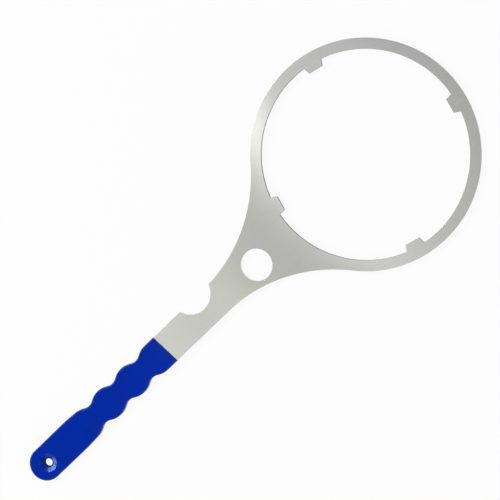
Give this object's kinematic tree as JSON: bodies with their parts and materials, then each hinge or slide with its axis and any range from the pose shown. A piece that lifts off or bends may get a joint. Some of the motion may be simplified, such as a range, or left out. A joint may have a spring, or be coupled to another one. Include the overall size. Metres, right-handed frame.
{
  "type": "filter housing wrench",
  "caption": "Flat steel wrench for a filter housing: lugged ring, flared neck with a round hole, notched arm, and a blue finger-scalloped vinyl grip with a hanging hole.",
  "frame": {"origin": "centre of the ring, on the middle plane of the steel sheet", "axes": "+X parallel to the handle's axis, from the grip to the ring, +Z square to the sheet, +Y towards the edge with the notch"},
  "size_m": [0.4673, 0.1768, 0.006],
  "materials": {
    "steel": "brushed stainless sheet with cut edges",
    "vinyl": "dipped vinyl, semi-gloss"
  },
  "bodies": {
    "root": {"wrench_plate": "steel", "handle_grip": "vinyl"}
  },
  "joints": []
}
